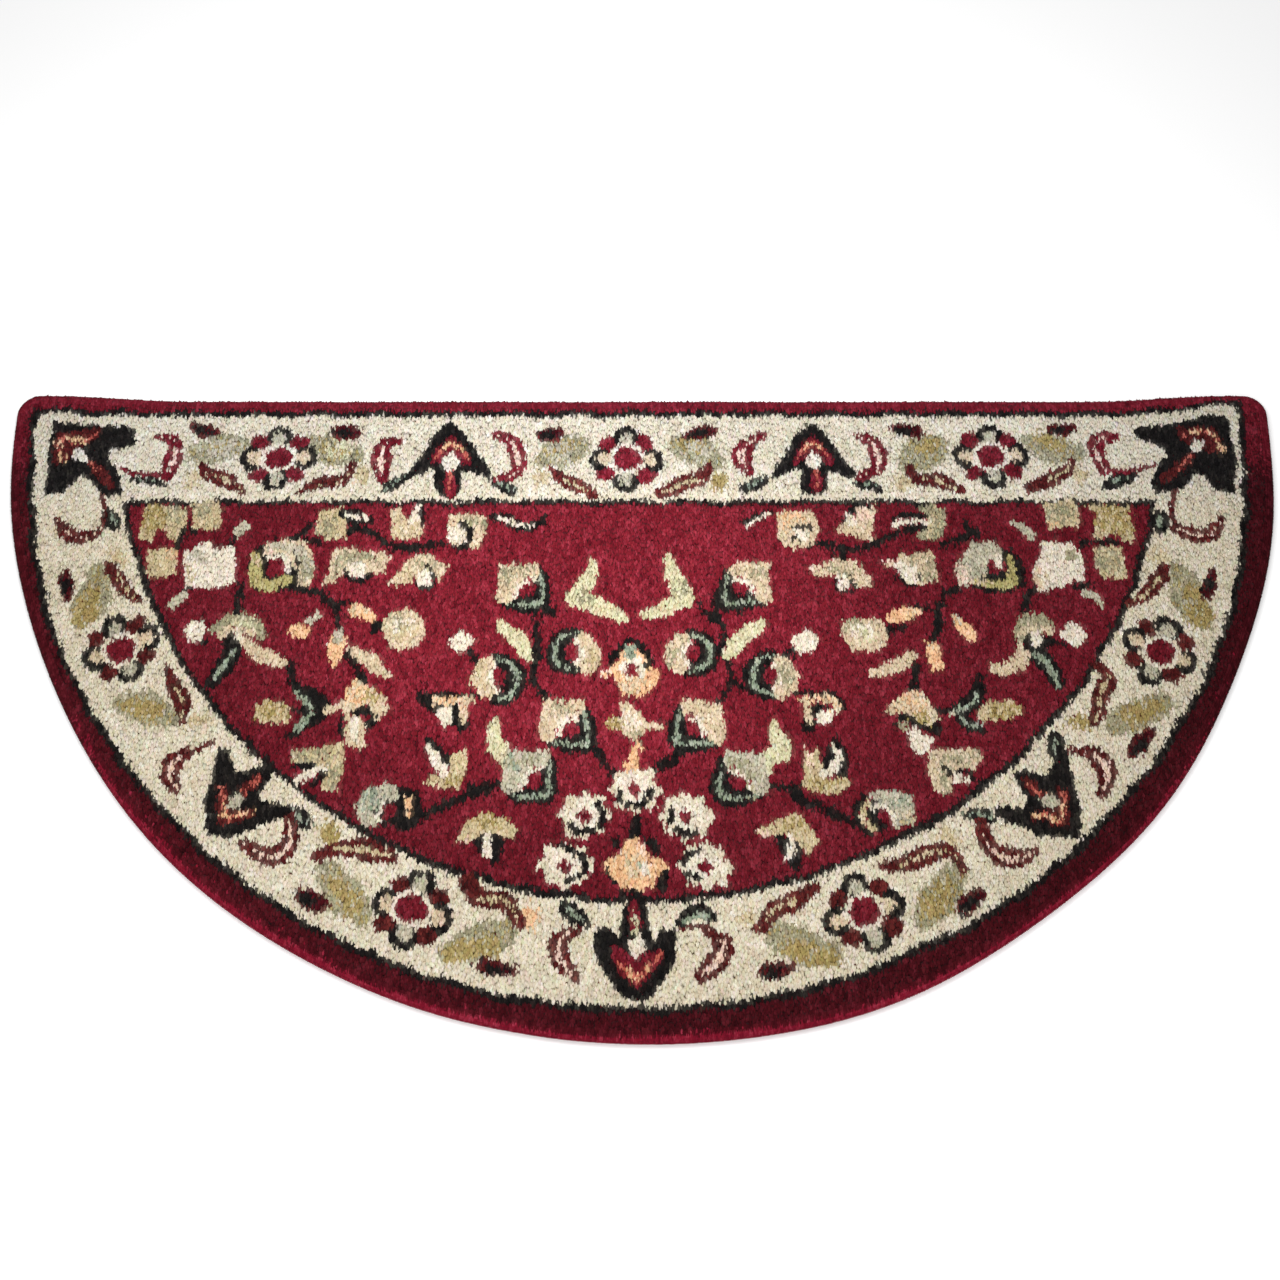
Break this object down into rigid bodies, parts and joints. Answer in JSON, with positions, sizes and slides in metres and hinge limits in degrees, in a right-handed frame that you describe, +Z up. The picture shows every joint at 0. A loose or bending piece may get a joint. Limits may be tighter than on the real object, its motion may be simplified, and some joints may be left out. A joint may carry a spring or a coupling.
{
  "type": "hearth rug",
  "caption": "Half-round hand-tufted wool hearth rug with a straight back edge, a floral field and a pale border between dark guard lines.",
  "frame": {"origin": "on the floor, under the middle of the rug's box", "axes": "+Z up out of the pile, +X along the straight back edge, -Y towards the round front"},
  "size_m": [1.1172, 0.5624, 0.0113],
  "materials": {
    "crimson_pile": "cut wool pile, matt",
    "ivory_pile": "cut wool pile, matt",
    "black_pile": "cut wool pile, matt",
    "sage_pile": "cut wool pile, matt",
    "gold_pile": "cut wool pile, matt",
    "mint_pile": "cut wool pile, matt",
    "tan_pile": "cut wool pile, matt",
    "peach_pile": "cut wool pile, matt",
    "coral_pile": "cut wool pile, matt",
    "ground_cloth": "plain woven cotton"
  },
  "bodies": {
    "root": {"rug": "crimson_pile"}
  },
  "joints": []
}
